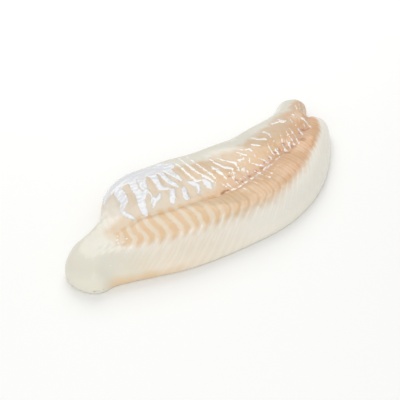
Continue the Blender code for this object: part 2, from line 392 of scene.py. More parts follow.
@dataclass(frozen=True)
class Patch:
    """A soft-edged part of the grid, and how strongly something shows in it."""

    strength: float
    along: tuple[Fade, ...] = ()
    across: tuple[Fade, ...] = ()

    def at(self, s: np.ndarray, t: np.ndarray) -> np.ndarray:
        """Strength at each grid place."""
        shares = [fade.at(s) for fade in self.along] + [fade.at(t) for fade in self.across]
        return self.strength * math.prod(shares)


@dataclass(frozen=True)
class Blotches:
    """Soft random blotches of one strength, size and seed."""

    strength: float
    cell: float
    seed: int

    def at(self, x: np.ndarray, y: np.ndarray) -> np.ndarray:
        """Strength of the blotches at each place, from minus to plus."""
        return self.strength * mottle(x, y, self.cell, self.seed)


@dataclass(frozen=True)
class Ridge:
    """A soft bell across the grid, by its place and half width."""

    place: float
    width: float

    def at(self, value: np.ndarray) -> np.ndarray:
        """Share reached at each value."""
        return np.exp(-((value - self.place) / self.width) ** 2)


def blended(share: np.ndarray, head: float | np.ndarray, tail: float | np.ndarray) -> np.ndarray:
    """Change from a tail value at share 0 to a head value at share 1."""
    return head * share + tail * (1 - share)


def at_least(least: float, share: np.ndarray) -> np.ndarray:
    """Squeeze a share into the range from a least value to 1."""
    return least + (1 - least) * share


def middles(count: np.ndarray) -> np.ndarray:
    """Give 1 in the middle of each flake and 0 on its walls."""
    return 1 - np.abs(2 * (count % 1.0) - 1)


@dataclass(frozen=True)
class PhotoView:
    """The photograph's viewpoint, which the camera and the traced strokes share."""

    eye: tuple[float, float, float] = (-0.4468, -0.3792, 0.400)
    heading: tuple[float, float] = (0.734, 0.679)
    pitch_degrees: float = 34.99
    lens_mm: float = 63.0
    sensor_mm: float = 36.0
    side_pixels: int = 400

    def pixels(self, points: np.ndarray) -> np.ndarray:
        """Project points into the photograph.

        Args:
            points: Points in metres.

        Returns:
            Pixels across and down for each point.
        """
        pitch = math.radians(self.pitch_degrees)
        east, north = self.heading
        away = points - np.array(self.eye)
        right = away[..., 0] * north - away[..., 1] * east
        forward = away[..., 0] * east + away[..., 1] * north
        depth = forward * math.cos(pitch) - away[..., 2] * math.sin(pitch)
        rise = forward * math.sin(pitch) + away[..., 2] * math.cos(pitch)
        scale = self.side_pixels * self.lens_mm / self.sensor_mm / depth
        return np.stack([self.side_pixels / 2 + right * scale, self.side_pixels / 2 - rise * scale], -1)


@dataclass
class Tracing:
    """Lays strokes traced on the photograph onto the flesh that shows in it."""

    view: PhotoView
    surface: np.ndarray
    hidden_penalty_px: float = 50.0
    most_mm_per_pixel: float = 3.0
    places: np.ndarray = field(init=False)
    pixels: np.ndarray = field(init=False)
    steps: np.ndarray = field(init=False)
    pixel_steps: np.ndarray = field(init=False)
    hidden: np.ndarray = field(init=False)

    def __post_init__(self) -> None:
        """Project the surface's own grid into the photograph."""
        self.places = self.surface / MM
        self.pixels = self.view.pixels(self.surface)
        self.steps = np.stack(np.gradient(self.places, axis=(0, 1)), -1)
        self.pixel_steps = np.stack(np.gradient(self.pixels, axis=(0, 1)), -1)
        self.hidden = np.linalg.det(self.pixel_steps) >= 0

    def lay(self, stroke: Stroke, stretched: bool) -> np.ndarray:
        """Find a stroke's points on the surface.

        Args:
            stroke: Places in the photograph's pixels, and half widths.
            stretched: Whether the half widths are pixels too, and not millimetres.

        Returns:
            One row for each point: its place and half width in millimetres.
        """
        traced = np.array(stroke)
        spots = traced[:, :2]
        runs = np.vstack([spots[1:], spots[-1:]]) - np.vstack([spots[:1], spots[:-1]])
        rows = []
        for spot, half, run in zip(spots, traced[:, 2], runs):
            miss = np.linalg.norm(self.pixels - spot, axis=-1) + self.hidden_penalty_px * self.hidden
            i, j = np.unravel_index(np.argmin(miss), miss.shape)
            cell, steps = self.pixel_steps[i, j], self.steps[i, j]
            shift = np.clip(np.linalg.solve(cell, spot - self.pixels[i, j]), -1.0, 1.0)
            size = np.linalg.norm(run)
            run = run / size if size > 0 else np.array([1.0, 0.0])
            # Millimetres per pixel across the stroke are the area's stretch over the stretch along the run.
            area = np.linalg.norm(np.cross(steps[:, 0], steps[:, 1])) / abs(np.linalg.det(cell))
            stretch = min(area / np.linalg.norm(steps @ np.linalg.solve(cell, run)), self.most_mm_per_pixel)
            rows.append([*(self.places[i, j] + steps @ shift), half * stretch if stretched else half])
        return np.array(rows)

    def reach(self, stroke: Stroke, stretched: bool = True) -> np.ndarray:
        """How far inside a stroke each point of the surface lies.

        Args:
            stroke: Places in the photograph's pixels, and half widths.
            stretched: Whether the half widths are pixels too, and not millimetres.

        Returns:
            Millimetres inside the stroke's edge; negative outside it.
        """
        laid = self.lay(stroke, stretched)
        knots, halves = laid[:, :3], laid[:, 3]
        flat = self.places.reshape(-1, 3)
        best = halves[0] - np.linalg.norm(flat - knots[0], axis=1)
        for start, end, near, far in zip(knots[:-1], knots[1:], halves[:-1], halves[1:]):
            run = end - start
            along = np.clip(((flat - start) @ run) / (run @ run), 0.0, 1.0)
            half = near * (1 - along) + far * along
            best = np.maximum(best, half - np.linalg.norm(flat - start - along[:, None] * run, axis=1))
        return best.reshape(self.places.shape[:-1])

    def most(self, groups: Strokes, stretched: bool = True) -> np.ndarray:
        """How far inside the nearest of several strokes each point lies, in millimetres."""
        strokes = [stroke for group in groups.values() for stroke in group]
        return np.max([self.reach(stroke, stretched) for stroke in strokes], axis=0)


@dataclass(frozen=True)
class TracedStrokes:
    """Strokes traced on the photograph: pixels across and down, and half width in pixels.

    Only the specks, which are painted glints, have their half width in millimetres.
    """

    film: Strokes = field(default_factory=lambda: {
        "edge along the top": (
            ((111, 190, 3), (116, 185, 4), (124, 180, 5), (132, 176.5, 5.5), (139, 175.5, 5),
             (146, 173, 4.5), (153, 170.5, 4.5), (160, 168, 4.5), (167, 166.5, 3.5)),
        ),
        "head flap": (
            ((101.5, 198.5, 0.9), (105, 197, 2.2), (108.5, 194, 2)),
            ((106, 199, 2.2), (105, 204, 0.7)),
        ),
        "first strip": (
            ((117, 188, 5), (119, 193, 5.2), (122, 198, 5.5), (124, 202, 4.2), (122.5, 206, 2.6),
             (121.5, 210, 1.5)),
            ((121.5, 211, 1.4), (125, 214, 2), (130, 216.5, 2), (135, 219.5, 1)),
        ),
        "second strip": (
            ((136, 179, 9), (139, 187, 8.5), (141.5, 194, 6), (141, 200, 4), (142, 206, 3.8),
             (144.5, 212, 3.3), (146.5, 216, 1.6)),
            ((147, 190, 0.9), (151, 194.5, 0.9), (152, 199, 0.8), (151, 203, 0.6)),
        ),
        "forked shred": (
            ((160, 193.5, 1), (159, 198, 2), (156, 200.5, 2.4), (153.8, 204, 1.7), (153, 208, 0.8)),
            ((152, 197, 0.8), (155, 199.5, 1.4)),
        ),
        "back strips": (
            ((151, 174, 4), (155.5, 180, 3), (158.5, 185, 2.4), (162, 188.5, 2.2), (167, 188.3, 1.6),
             (170, 187.3, 1)),
            ((161, 173, 3), (166, 178, 2.6), (171, 182.5, 2.4), (177.5, 186.5, 1.4)),
            ((165, 169, 3.2), (171, 173, 2.8), (176.5, 176.5, 2.2), (181, 180, 1.2)),
        ),
        "drops": (
            ((172, 189, 2.2), (173, 193, 2.8), (172.5, 197.5, 3), (172.5, 202, 2.6)),
            ((184, 186.5, 1.2), (184.5, 191, 2.4), (185.5, 195.5, 2.6), (187.5, 199, 2.2)),
        ),
        "last shreds": (
            ((189.5, 182, 1.3), (193, 183, 2.2), (197, 185.3, 2.2), (199, 189, 1.4), (198.5, 193, 1.2)),
            ((204, 180, 1.8), (207.5, 183.5, 3.2), (209.5, 187, 2.6)),
        ),
    })
    tears: Strokes = field(default_factory=lambda: {
        "gap beside the first strip": (
            ((127, 184.5, 0.8), (128.5, 190, 1.2), (130.5, 196, 1.5), (132, 200.5, 2.6)),
            ((131, 203, 3.2), (131, 208, 3.6)),
        ),
        "slits": (
            ((123.6, 185, 0.5), (124.4, 192, 0.5)),
            ((156.5, 174, 0.6), (160, 179, 0.6), (163, 182, 0.6)),
            ((163.5, 172.5, 0.5), (168, 176.5, 0.7), (172, 180.5, 0.6)),
        ),
        "gaps beside the second strip": (
            ((147, 177, 1), (150.5, 183, 2.6), (153.5, 189, 3.6), (156, 194, 2.8)),
            ((163, 182.5, 1.5), (167, 185, 2), (172, 187.5, 1.4)),
        ),
        "folds": (
            ((136.3, 178.5, 0.5), (137.3, 183, 0.5), (139.5, 188, 0.6), (143, 191, 0.6)),
            ((142, 184, 0.3), (145.5, 189, 0.4)),
        ),
    })
    # Whitish wet streaks along the ridges; their brightness is partly painted highlight.
    streaks: Strokes = field(default_factory=lambda: {
        "beside the film": (
            ((176, 163.5, 1.4), (182, 168, 1.4), (186.5, 173, 1.4), (191, 177, 1.4), (197, 181, 1.6),
             (200, 180, 1.2)),
            ((179, 158.5, 1.2), (187.7, 165, 1.4), (193.4, 169.5, 1.3), (199, 173, 1.6), (205, 176, 2),
             (210, 179, 1.8), (215, 183, 1.2)),
            ((187, 157, 1), (194.6, 162.5, 1.1), (200.3, 166.3, 1.2), (206, 170, 1.4),
             (210.7, 174, 1.4), (215.3, 178.5, 1.3), (219, 182.7, 0.9)),
        ),
        "middle": (
            ((211, 165.5, 1), (218.8, 171.5, 1.9), (223.5, 175, 1.6), (226.8, 180, 0.9)),
            ((210, 159, 0.8), (216, 163, 1.5), (221, 165.8, 1.4), (226.8, 167.5, 1.7),
             (232, 168.5, 1.5), (233.5, 174, 1.1), (234.5, 179, 0.8)),
            ((217, 158, 0.8), (223, 160, 1.1), (229, 161.2, 1.2), (235, 163, 1.4), (238.4, 167.5, 1.4),
             (239, 172, 0.8)),
            ((231.5, 172.3, 0.8), (232.6, 178, 1), (236, 181.5, 1), (239.5, 184.5, 0.8)),
        ),
        "towards the far edge": (
            ((237.8, 149.5, 0.9), (244, 150, 1), (249.5, 149, 1.1), (253.5, 152.7, 1.2),
             (255.8, 157.8, 0.8)),
            ((236, 152, 0.7), (240, 153.5, 1), (246, 155.3, 1.2), (250, 158.5, 1.1), (249.3, 163, 0.7)),
            ((239.5, 159.8, 1.2), (244, 159.2, 1.3), (245, 163, 0.8)),
            ((252.6, 144.8, 0.9), (257, 145.2, 1.3), (260.3, 145.6, 1)),
            ((251.5, 138, 1), (258, 139.5, 1.1), (263.7, 139, 1.4), (267, 140, 0.8)),
            ((264.2, 132, 1.1), (269, 134, 1.4), (271, 137.7, 1)),
            ((272.5, 124, 1), (276.4, 122.7, 1.2), (279.8, 121.2, 1.1)),
            ((279, 119.5, 1.2), (283, 121.5, 1.5), (286, 120.6, 0.8)),
        ),
        "towards the tail": (
            ((267.4, 141, 0.7), (268.5, 146, 0.8), (271, 150.4, 1.6), (274.5, 155, 1.2)),
            ((274, 147, 0.9), (276.4, 151, 1.2), (278.7, 154, 1.2)),
            ((279.5, 132, 0.7), (282, 138.9, 0.9), (282.8, 145.8, 1), (286, 151, 1.5)),
            ((285, 129.5, 0.7), (289, 135.4, 0.9), (292.5, 141, 1.2), (294.8, 145, 1.2)),
            ((286, 139, 0.7), (288.5, 144, 1), (291, 148, 1.1)),
            ((290, 128.5, 0.7), (293.7, 134.3, 1), (297, 139.5, 1.2), (298.6, 143, 0.8)),
            ((296, 125.5, 0.8), (299.4, 130.4, 1), (303, 135, 1)),
            ((300, 116.5, 0.8), (305, 120.4, 1.3), (308.4, 125, 1.2), (312.5, 129.6, 0.8)),
            ((302.6, 121.6, 0.7), (305, 127.3, 0.8)),
        ),
        "on the tail lobe": (
            ((294.8, 104, 0.7), (297, 109, 0.7)),
            ((298.3, 102.5, 0.6), (300.3, 109.5, 0.7)),
            ((302.5, 105, 0.6), (303.6, 111.5, 0.7)),
            ((291.5, 114, 0.8), (297, 117, 0.8)),
            ((289, 117.5, 0.7), (292.5, 122, 0.8)),
        ),
        "near the seam": (
            ((227, 183.5, 0.8), (231, 186.7, 0.9), (234.5, 189, 1)),
            ((243, 176, 0.6), (247, 178.6, 0.9), (250, 181, 0.8)),
            ((250, 168.5, 0.7), (255, 171, 0.9), (259.5, 173.7, 0.8)),
            ((253, 163.5, 0.9), (258, 165, 1.3), (263, 166, 1)),
            ((259, 158, 0.8), (264, 160, 1.1), (268, 163, 0.8)),
            ((265, 153, 0.7), (269.5, 156.5, 1), (272.5, 160, 0.8)),
            ((243, 169, 0.7), (247, 170.6, 1), (249, 174.5, 0.7)),
            ((240.5, 166, 0.7), (243.5, 168.3, 0.8), (244.5, 172, 0.7)),
            ((222, 183.5, 0.7), (225.5, 186.5, 0.8), (228, 189.3, 0.7)),
            ((211, 188.5, 0.7), (215, 191, 1), (218.5, 193.5, 0.8)),
        ),
        "along the seam": (
            ((232, 190.3, 0.9), (239.5, 186.8, 1.1), (246.4, 182, 1.1), (253.3, 177.6, 1.1),
             (260.3, 172.5, 1.1), (266, 167.4, 1.1), (270.5, 164.7, 0.7)),
            ((274, 161, 1), (280.5, 156.3, 1.1)),
        ),
        "branches on the loin": (
            ((236, 190.5, 0.5), (240, 192.3, 0.5)),
            ((241, 187.5, 0.5), (247, 190, 0.6)),
            ((246, 184.5, 0.5), (254, 187.5, 0.6)),
            ((251, 181.3, 0.5), (258, 183.6, 0.6)),
            ((256, 178, 0.5), (263, 180, 0.5)),
            ((260, 174.7, 0.6), (270, 177, 0.7)),
            ((264, 171, 0.5), (272, 173, 0.6)),
            ((268, 167.3, 0.5), (275, 169, 0.6)),
            ((271, 164.5, 0.5), (278, 165.5, 0.5)),
        ),
    })
    # Specks are painted glints: small bright dots of wet sparkle.
    painted_glints: Strokes = field(default_factory=lambda: {
        "on the nose": (
            ((116.9, 240.2, 1.3),), ((126.7, 238.9, 1),), ((112.2, 242.8, 1),), ((118.3, 243.3, 1.1),),
            ((120, 246.1, 0.9),), ((115, 244.2, 0.9),), ((124.4, 248.3, 0.8),), ((108.9, 245.6, 0.8),),
            ((104.4, 242.2, 0.7),), ((110.6, 265.6, 0.9),), ((122.2, 252.8, 0.7),),
            ((113.3, 251.1, 0.7),), ((93.3, 256.7, 0.6),), ((85.6, 257.8, 0.6),), ((131, 247.8, 0.7),),
            ((116, 210, 0.8),), ((113.3, 203.3, 0.7),), ((108.9, 208.9, 0.8),), ((110.6, 226.7, 0.6),),
            ((122.5, 242, 0.7),), ((107, 250, 0.6),), ((100, 250, 0.6),), ((129, 252, 0.6),),
            ((117.5, 236.5, 0.7),),
        ),
    })
    thin_amber: Strokes = field(default_factory=lambda: {
        "from the nose": (
            ((146, 218.3, 0.7), (152, 216.6, 0.8), (159, 213.8, 0.9), (166, 211.3, 1.1),
             (173, 209, 0.8), (181, 206.3, 0.7), (190, 203.4, 0.8), (198, 200.8, 0.9), (203, 199.6, 1)),
        ),
    })
    broad_amber: Strokes = field(default_factory=lambda: {
        "before the blood": (
            ((201, 200.2, 0.8), (206, 199, 1.5), (212, 197.7, 1.4), (217, 196.2, 0.8)),
        ),
    })
    blood_spots: Strokes = field(default_factory=lambda: {
        "seam spots": (
            ((221.8, 194.2, 0.9), (224.6, 191.8, 1.1)),
            ((225, 190.8, 0.5), (229, 190.5, 0.5)),
        ),
    })
    rosy_spots: Strokes = field(default_factory=lambda: {
        "seam and tail": (
            ((256, 171, 1.3),), ((250, 176, 1),), ((243, 182, 0.9),), ((262, 168, 1),),
            ((275, 153, 1.3),), ((271, 158, 1),), ((284, 144, 1.2),), ((280, 150, 1),),
            ((302, 139, 1.6),), ((303, 130, 1.3),), ((300, 133, 0.9),), ((293, 147, 1.1),),
            ((288, 152.5, 1.1),), ((266, 163, 1),), ((237, 180, 0.8),), ((229, 176, 0.8),),
            ((308, 129, 1),),
        ),
    })


@dataclass
class Ground:
    """What every layer reads of the surface: places in millimetres and on the grid, and its flakes."""

    x: np.ndarray
    y: np.ndarray
    s: np.ndarray
    t: np.ndarray
    count: np.ndarray
    centre: np.ndarray
    fine: np.ndarray
    head: np.ndarray
    past_tan_edge: np.ndarray


@dataclass
class FleshPattern:
    """Where the side of cod is pale, tan, pink or filmed over, and its fine relief."""

    form: FilletForm
    view: PhotoView
    strokes: TracedStrokes

    # Flakes: how their walls bend over the loin.
    arm_lean: float = 0.12
    arm_slopes: Line = ((0.0, 0.0), (0.08, 0.20), (0.16, 0.48), (0.24, 0.68), (0.32, 0.78),
                        (0.70, 0.70), (1.0, 0.30))
    arm_bends: Line = ((0.0, 0.45), (0.14, 0.42), (0.20, 0.37), (0.24, 0.31), (0.265, 0.275), (0.295, 0.25),
                       (0.32, 0.225), (0.36, 0.205), (0.40, 0.19), (0.45, 0.19), (0.60, 0.205), (1.0, 0.24))
    arm_rounding: float = 0.03
    arm_settling: float = 0.15
    arm_head_fade: Fade = Fade(0.0, 0.15)
    arm_tail_fade: Fade = Fade(1.0, 0.85)
    line_samples: int = 400
    flake_wander: tuple[Blotches, ...] = (Blotches(0.07, 7.0, 3), Blotches(0.05, 2.6, 4))
    head_part: Fade = Fade(0.47, 0.34)
    loin_side: Fade = Fade(0.56, 0.48)

    # Tan of the flakes: its edge on the flank, and where it starts and pales.
    tan_edge: Line = ((0.0, 0.40), (0.10, 0.36), (0.143, 0.31), (0.164, 0.275), (0.191, 0.262),
                      (0.219, 0.235), (0.247, 0.215), (0.278, 0.203), (0.306, 0.192), (0.349, 0.180),
                      (0.382, 0.165), (0.415, 0.157), (0.453, 0.160), (0.491, 0.166), (0.531, 0.171),
                      (0.575, 0.188), (0.623, 0.207), (0.676, 0.218), (0.751, 0.265), (0.816, 0.272),
                      (0.891, 0.303), (0.941, 0.382), (0.965, 0.484), (1.0, 0.60))
    flame_length: float = 0.014
    head_flame_length: float = 0.038
    flame_wander: Blotches = Blotches(0.010, 5.0, 5)
    head_tan: Fade = Fade(-0.045, 0.06)
    tail_tan: Fade = Fade(-0.050, 0.060)
    tan_start: Fade = Fade(0.105, 0.145)
    tan_start_wander: Blotches = Blotches(0.015, 8.0, 6)
    nose_stripes: Patch = Patch(0.60, (Fade(0.05, 0.10), Fade(0.19, 0.12)),
                                (Fade(0.22, 0.32), Fade(0.62, 0.48)))
    nose_stripe_width: Fade = Fade(0.40, 0.85)
    pale_under_film: Patch = Patch(0.90, (Fade(0.31, 0.24),), (Fade(0.57, 0.66),))
    pale_by_seam: Patch = Patch(0.30, (Fade(0.47, 0.34),), (Fade(0.50, 0.54), Fade(0.66, 0.56)))

    # Pale walls between the flakes, and the fine lines on the flank and on the outer wall behind.
    head_wall_width: Fade = Fade(0.66, 0.26)
    tail_wall_width: Fade = Fade(0.70, 0.15)
    head_wall_strength: float = 0.95
    tail_wall_strength: float = 0.32
    wall_middle: float = 0.85
    wall_wander: Blotches = Blotches(0.20, 5.0, 7)
    wall_on_belly: float = 0.30
    wall_start: Fade = Fade(0.12, 0.19)
    wall_on_flank: float = 0.30
    wall_edge: Fade = Fade(-0.03, 0.04)
    flank_edge: Fade = Fade(0.03, -0.03)
    flank_patch: Patch = Patch(1.0, (Fade(0.10, 0.20),), (Fade(0.0, 0.10),))
    flank_wide_line: tuple[float, Fade] = (0.25, Fade(0.50, 0.10))
    flank_fine_line: tuple[float, Fade] = (0.50, Fade(0.60, 0.15))
    behind_patch: Patch = Patch(1.0, (Fade(0.20, 0.30),), (Fade(0.86, 0.92),))
    behind_wide_line: tuple[float, Fade] = (0.55, Fade(0.60, 0.15))
    behind_fine_line: tuple[float, Fade] = (0.25, Fade(0.6, 0.2))
    line_middle: float = 0.55
    line_wander: Blotches = Blotches(0.45, 4.0, 14)

    # Pearly lining film, and wet streaks that are whitish strands partly painted as highlight, in millimetres
    # inside their edges.
    film_wander: tuple[Blotches, ...] = (Blotches(0.55, 2.4, 8), Blotches(0.35, 1.2, 18))
    streak_wander: tuple[Blotches, ...] = (Blotches(0.9, 1.7, 9), Blotches(0.8, 4.5, 29))
    streak_loss: float = 0.75
    strands_per_flake: int = 2
    strand_drift: tuple[Blotches, ...] = (Blotches(0.16, 0.018, 21), Blotches(0.10, 0.008, 22))
    strand_breaks: tuple[Blotches, ...] = (Blotches(1.0, 0.030, 23), Blotches(0.8, 0.011, 24))
    strand_patch: Patch = Patch(1.0, (Fade(0.36, 0.46), Fade(0.97, 0.92)),
                                (Fade(0.505, 0.53), Fade(0.78, 0.70)))
    strand_slope: float = 2.4
    strand_width: float = 0.72
    strand_outside: float = 2.0
    strand_break_depth: float = 1.2
    strand_break: Fade = Fade(0.5, -0.4)

    # Haze of flesh under and around the film.
    veil_round_film: Fade = Fade(-9.0, 0.0)
    veil_belly_side: Fade = Fade(0.50, 0.56)
    veil_head: Patch = Patch(0.75, (Fade(0.47, 0.36),), (Fade(0.50, 0.53),))
    veil_back: Patch = Patch(0.5, (Fade(0.36, 0.46),), (Fade(0.60, 0.75),))
    veil_middle: float = 0.8
    veil_wander: Blotches = Blotches(0.3, 6.0, 15)
    veil_start: Fade = Fade(0.16, 0.30)

    # Colour along the seam.
    amber_thin: tuple[float, Fade] = (0.40, Fade(-1.0, 1.2))
    amber_broad: tuple[float, Fade] = (0.90, Fade(-0.8, 1.6))
    amber_middle: float = 0.75
    amber_wander: Blotches = Blotches(0.35, 3.0, 16)
    blood_edge: Fade = Fade(-0.6, 0.7)
    rosy_edge: Fade = Fade(-1.8, 1.2)
    rosy_wander: Blotches = Blotches(0.8, 2.0, 17)
    blush_patch: Patch = Patch(1.0, (Fade(0.43, 0.53), Fade(1.0, 0.93)))
    blush_ridge: Ridge = Ridge(0.520, 0.050)
    blush_middle: float = 0.70
    blush_wander: Blotches = Blotches(0.35, 7.0, 10)

    # Pale band along the far edge, glassy nose, deeper tan to the tail, and painted warm bounce light by the
    # foot.
    back_edge: Line = ((0.0, 0.98), (0.30, 0.98), (0.361, 0.93), (0.411, 0.86), (0.453, 0.80), (0.506, 0.785),
                       (0.560, 0.775), (0.616, 0.762), (0.673, 0.785), (0.734, 0.806), (0.803, 0.827),
                       (0.869, 0.825), (0.941, 0.810), (1.0, 0.79))
    back_fade: Fade = Fade(-0.035, 0.03)
    back_wander: Blotches = Blotches(0.02, 6.0, 12)
    nose_fade: Fade = Fade(0.20, 0.13)
    nose_wander: Blotches = Blotches(0.02, 12.0, 13)
    deep_tail: Patch = Patch(0.85, (Fade(0.30, 0.75),))
    deep_by_edge: Patch = Patch(0.55, (Fade(0.45, 0.75),))
    deep_ridge: Ridge = Ridge(0.055, 0.045)
    deep_belly_loss: Patch = Patch(0.6, (Fade(0.85, 0.70),), (Fade(0.52, 0.60),))
    # Painted warm bounce light: at the foot, low on the flank and along the far wall's foot.
    foot_painted_bounce_light: Patch = Patch(0.9, (Fade(0.04, 0.10), Fade(0.30, 0.16)))
    foot_painted_bounce_light_height: Fade = Fade(0.10, -0.03)
    foot_painted_bounce_light_wander: Blotches = Blotches(0.02, 9.0, 31)
    flank_painted_bounce_light: Patch = Patch(0.24, (Fade(0.08, 0.17), Fade(0.45, 0.22)), (Fade(0.30, 0.08),))
    behind_painted_bounce_light: Patch = Patch(1.0, (Fade(0.16, 0.26),), (Fade(0.90, 1.0),))
    behind_painted_bounce_light_middle: float = 0.35
    behind_painted_bounce_light_wander: tuple[Blotches, ...] = (Blotches(0.45, 14.0, 32), Blotches(0.15, 4.0, 33))

    # Relief.
    flake_relief_mm: float = 0.55
    relief_lines: Line = ((0.0, 0.0), (0.06, 0.04), (0.13, 0.14), (0.20, 0.45), (0.30, 0.72), (0.42, 0.55),
                          (0.5, 0.35), (0.56, 0.55), (0.66, 0.60), (0.76, 0.40), (0.84, 0.14), (0.90, 0.28),
                          (0.96, 0.35), (1.0, 0.0))
    relief_tail_loss: Patch = Patch(0.82, (Fade(0.35, 0.60),))
    relief_ends: Patch = Patch(1.0, (Fade(0.05, 0.15), Fade(0.99, 0.92)))
    relief_film_loss: float = 0.6
    film_height_mm: float = 0.5
    film_rise: Fade = Fade(-0.3, 0.8)
    film_crumple: Blotches = Blotches(0.5, 0.012, 19)
    streak_height_mm: float = 0.32
    streak_rise: Fade = Fade(-0.4, 1.2)
    amber_cut_mm: float = 0.35
    blood_cut_mm: float = 0.5
    rosy_cut_mm: float = 0.25
    relief_rim: Patch = Patch(1.0, (Fade(0.0, 0.02), Fade(1.0, 0.985)),
                              (Fade(0.0, 0.03), Fade(1.0, 0.985)))

    def flake_line(self, u: np.ndarray, t: float) -> np.ndarray:
        """Grid place s of each flake wall where it crosses one grid line t.

        Args:
            u: Places of the walls along the seam.
            t: The grid line, from loin to belly.

        Returns:
            Grid places from head to tail.
        """
        seam = self.form.seam_line
        if t >= seam:
            return self.form.zigzag(u, np.full_like(u, t))
        past = eased(u, self.arm_bends) - t
        soft = (past + np.hypot(past, self.arm_rounding)) / 2
        lean = eased(u, self.arm_slopes) * self.arm_settling * (1 - np.exp(-soft / self.arm_settling))
        return u - lean - self.arm_lean * (seam - t) * self.arm_head_fade.at(u) * self.arm_tail_fade.at(u)

    def flake_count(self, s: np.ndarray, t: np.ndarray) -> np.ndarray:
        """Count the flakes from the head to each point; whole numbers are the walls.

        Args:
            s: Grid places from head to tail.
            t: Grid places from loin to belly, the same down each column.

        Returns:
            The counts.
        """
        valleys = self.form.valleys()
        u = np.linspace(0.0, 1.0, self.line_samples)
        count = np.interp(u, valleys, np.arange(len(valleys)))
        columns = [np.interp(s[:, j], np.maximum.accumulate(self.flake_line(u, t[0, j])), count)
                   for j in range(s.shape[1])]
        return np.stack(columns, axis=1)

    def ground(self, points: np.ndarray, s: np.ndarray, t: np.ndarray) -> Ground:
        """Gather what every layer reads.

        Args:
            points: Points of the smooth surface.
            s: Grid places from head to tail.
            t: Grid places from loin to belly.

        Returns:
            The places and the flakes at each of them.
        """
        x, y = points[..., 0] / MM, points[..., 1] / MM
        count = self.flake_count(s, t) + sum(wander.at(x, y) for wander in self.flake_wander)
        centre, head = middles(count), self.head_part.at(s)
        length = self.flame_length + self.head_flame_length * head
        flames = eased(s, self.tan_edge) + length * (0.5 - centre) + self.flame_wander.at(x, y)
        return Ground(x, y, s, t, count, centre, middles(2 * count), head, t - flames)

    def tan(self, at: Ground) -> np.ndarray:
        """Share of tan in the flakes."""
        tan = blended(at.head, self.head_tan.at(at.past_tan_edge), self.tail_tan.at(at.past_tan_edge))
        tan = tan * self.tan_start.at(at.s + self.tan_start_wander.at(at.x, at.y))
        stripes = self.nose_stripes.at(at.s, at.t) * self.nose_stripe_width.at(at.centre)
        tan = np.maximum(tan, stripes)
        return tan * (1 - self.pale_under_film.at(at.s, at.t)) * (1 - self.pale_by_seam.at(at.s, at.t))

    def walls(self, at: Ground) -> np.ndarray:
        """Share of the pale walls between the flakes."""
        wide = blended(at.head, self.head_wall_width.at(at.centre), self.tail_wall_width.at(at.fine))
        wide = wide * blended(at.head, self.head_wall_strength, self.tail_wall_strength)
        wide = wide * (self.wall_middle + self.wall_wander.at(at.x, at.y)) * self.wall_start.at(at.s)
        wide = wide * at_least(self.wall_on_belly, self.loin_side.at(at.t))
        return wide * at_least(self.wall_on_flank, self.wall_edge.at(at.past_tan_edge))

    def fine_lines(self, at: Ground) -> np.ndarray:
        """Share of the fine pale lines on the flank and on the outer wall behind."""
        lines = []
        for patch, wide, fine in ((self.flank_patch, self.flank_wide_line, self.flank_fine_line),
                                  (self.behind_patch, self.behind_wide_line, self.behind_fine_line)):
            both = wide[0] * wide[1].at(at.centre) + fine[0] * fine[1].at(at.fine)
            lines.append(both * patch.at(at.s, at.t))
        on_flank, behind = lines
        shown = np.maximum(on_flank * self.flank_edge.at(at.past_tan_edge), behind)
        return shown * (self.line_middle + self.line_wander.at(at.x, at.y))

    def strands(self, at: Ground) -> np.ndarray:
        """Lay faint whitish wet strands, partly painted highlight, between the traced streaks of the belly
        half.

        Args:
            at: The surface's places.

        Returns:
            Millimetres inside a strand's edge; negative outside it.
        """
        drift = sum(blotches.at(at.s, at.t) for blotches in self.strand_drift)
        breaks = sum(blotches.at(at.s, at.t) for blotches in self.strand_breaks)
        middle = middles(self.strands_per_flake * at.count + drift)
        inside = self.strand_slope * (middle - self.strand_width)
        outside = self.strand_outside * (1 - self.strand_patch.at(at.s, at.t))
        return inside - outside - self.strand_break_depth * self.strand_break.at(breaks)

    def film(self, at: Ground, tracing: Tracing) -> np.ndarray:
        """Millimetres inside the torn film's edge."""
        whole = np.minimum(tracing.most(self.strokes.film), -tracing.most(self.strokes.tears))
        return whole + sum(wander.at(at.x, at.y) for wander in self.film_wander)

    def streaks(self, at: Ground, tracing: Tracing) -> np.ndarray:
        """Millimetres inside the edge of a wet streak or strand, partly painted highlight, or of a speck,
        which is a painted glint.
        """
        streak_and_glint = np.maximum(tracing.most(self.strokes.streaks), self.strands(at))
        streak_and_glint = streak_and_glint + sum(wander.at(at.x, at.y) for wander in self.streak_wander) - self.streak_loss
        return np.maximum(streak_and_glint, tracing.most(self.strokes.painted_glints, stretched=False))

    def veil(self, at: Ground, film: np.ndarray) -> np.ndarray:
        """Share of the haze under and around the film."""
        veil = self.veil_round_film.at(film) * self.veil_belly_side.at(at.t)
        veil = np.maximum(veil, self.veil_head.at(at.s, at.t))
        veil = np.maximum(veil, self.veil_back.at(at.s, at.t))
        return veil * (self.veil_middle + self.veil_wander.at(at.x, at.y)) * self.veil_start.at(at.s)

